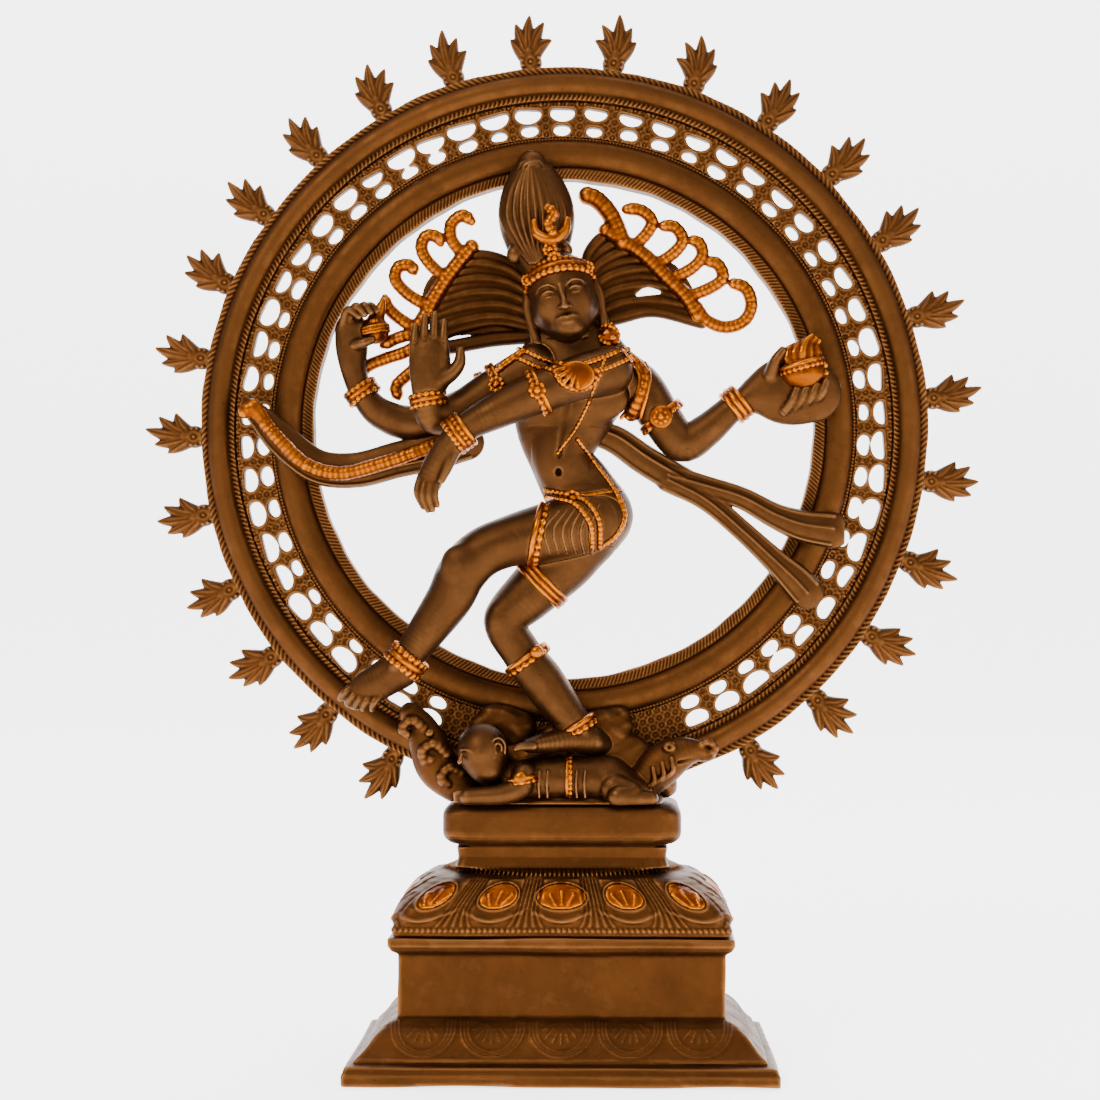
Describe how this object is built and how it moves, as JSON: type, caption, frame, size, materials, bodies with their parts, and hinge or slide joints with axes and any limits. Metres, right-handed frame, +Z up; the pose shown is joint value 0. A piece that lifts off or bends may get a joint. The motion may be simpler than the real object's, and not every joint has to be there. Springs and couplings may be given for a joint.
{
  "type": "brass nataraja statue",
  "caption": "Cast brass dancer with four arms inside a pierced, flame-edged ring, on a lotus cushion and stepped hollow pedestal, with gilt paint details",
  "frame": {"origin": "middle of the plinth's flat underside", "axes": "+Z up, -Y towards the front that the dancer faces, +X to the viewer's right"},
  "size_m": [0.3594, 0.122, 0.4567],
  "materials": {
    "cast_brass": "lacquered antique brass, worn lighter on ridges and dark in the chasing",
    "figure_brass": "dull olive-brown antique brass with a soft satin sheen",
    "gilt_paint": "orange-gold gilt paint, glossy on the ridges and deep orange in the hollows",
    "steel_fixings": "plain zinc-plated steel"
  },
  "bodies": {
    "root": {"plinth": "cast_brass", "lotus_pedestal": "cast_brass", "base_screws": "steel_fixings", "mounting_studs": "steel_fixings", "washers": "steel_fixings", "nuts": "steel_fixings", "ring": "cast_brass", "flame_01": "cast_brass", "flame_02": "cast_brass", "flame_03": "cast_brass", "flame_04": "cast_brass", "flame_05": "cast_brass", "flame_06": "cast_brass", "flame_07": "cast_brass", "flame_08": "cast_brass", "flame_09": "cast_brass", "flame_10": "cast_brass", "flame_11": "cast_brass", "flame_12": "cast_brass", "flame_13": "cast_brass", "flame_14": "cast_brass", "flame_15": "cast_brass", "flame_16": "cast_brass", "flame_17": "cast_brass", "flame_18": "cast_brass", "flame_19": "cast_brass", "flame_20": "cast_brass", "flame_21": "cast_brass", "flame_22": "cast_brass", "flame_23": "cast_brass", "flame_24": "cast_brass", "flame_25": "cast_brass", "torso": "figure_brass", "head": "figure_brass", "crown": "figure_brass", "hair_fan_left": "figure_brass", "hair_fan_right": "figure_brass", "arm_drum": "figure_brass", "drum": "gilt_paint", "arm_blessing": "figure_brass", "arm_crossing": "figure_brass", "arm_fire": "figure_brass", "fire_bowl": "gilt_paint", "standing_leg": "figure_brass", "raised_leg": "figure_brass", "sash_left": "figure_brass", "snake": "gilt_paint", "sash_right": "figure_brass", "dwarf": "figure_brass", "makara_left": "cast_brass", "makara_right": "cast_brass"}
  },
  "joints": []
}
